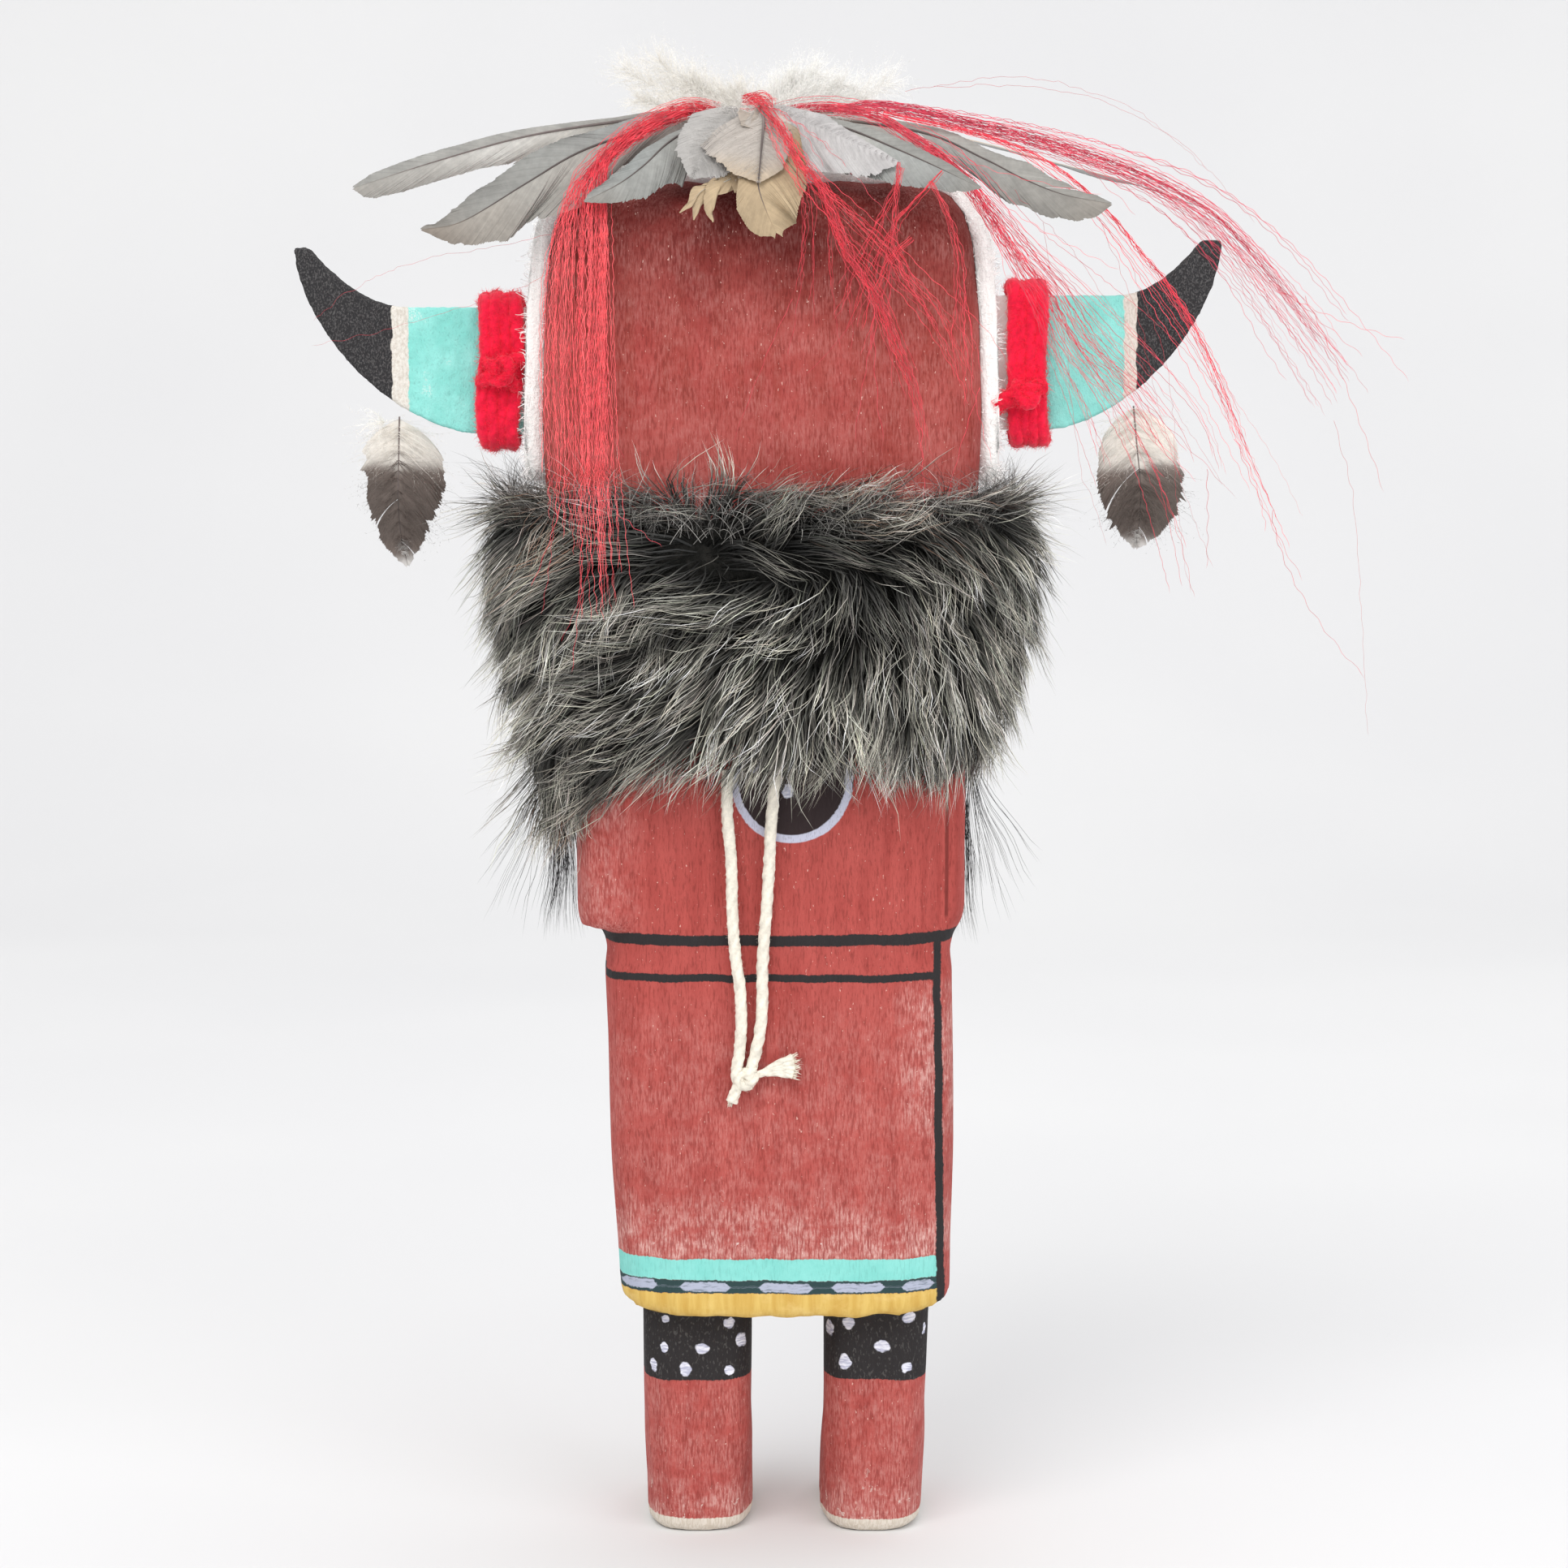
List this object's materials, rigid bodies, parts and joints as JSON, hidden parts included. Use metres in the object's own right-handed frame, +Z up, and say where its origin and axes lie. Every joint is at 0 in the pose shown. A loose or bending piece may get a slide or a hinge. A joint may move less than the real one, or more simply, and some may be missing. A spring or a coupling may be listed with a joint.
{
  "type": "kachina doll",
  "caption": "Carved and painted wooden doll standing on its own feet, with flat side horns, a fur ruff round the neck, a feather crown, dyed horsehair and a hanging twine.",
  "frame": {"origin": "on the floor, under the middle of the box round everything but the cord", "axes": "+Z up from the soles to the crown, +Y the way the face looks, +X to the left hand of a viewer who faces the mask"},
  "size_m": [0.2196, 0.0844, 0.3061],
  "materials": {
    "painted_wood": "matt brick-red mineral paint on cottonwood, worn to chalky white along its low edges",
    "horn_paint": "matt turquoise, cream and charcoal paint on a thin board",
    "fleece": "short white fleece",
    "ruff_fur": "long dark grey pile with pale grey-beige tips",
    "red_yarn": "fuzzy bright red wool yarn",
    "red_hair": "crimped crimson-dyed horsehair",
    "black_hair": "fine straight black hair",
    "grey_feather": "blue-grey wing feather with a pale shaft",
    "cream_feather": "cream body feather",
    "pendant_feather": "soft feather, white at the quill, dark brown below, with a pale tip",
    "white_down": "fluffy white down",
    "cotton_twine": "loosely twisted natural cotton twine"
  },
  "bodies": {
    "root": {"figure": "painted_wood", "head_fur": "fleece", "neck_ruff": "ruff_fur", "horn_left": "horn_paint", "horn_right": "horn_paint", "yarn_left": "red_yarn", "yarn_right": "red_yarn", "pendant_left": "pendant_feather", "pendant_right": "pendant_feather", "feather_far_left": "grey_feather", "feather_low_left": "grey_feather", "feather_back_left": "grey_feather", "feather_scrap": "cream_feather", "feather_spoon": "cream_feather", "feather_back_right": "grey_feather", "feather_long_right": "grey_feather", "feather_edge_right": "grey_feather", "down_left": "white_down", "down_right": "white_down", "hair_left": "red_hair", "hair_middle": "red_hair", "hair_right": "red_hair", "hair_outer": "red_hair", "hair_side": "red_hair", "beard": "black_hair", "cord_left": "cotton_twine", "cord_right": "cotton_twine", "cord_knot": "cotton_twine"}
  },
  "joints": []
}
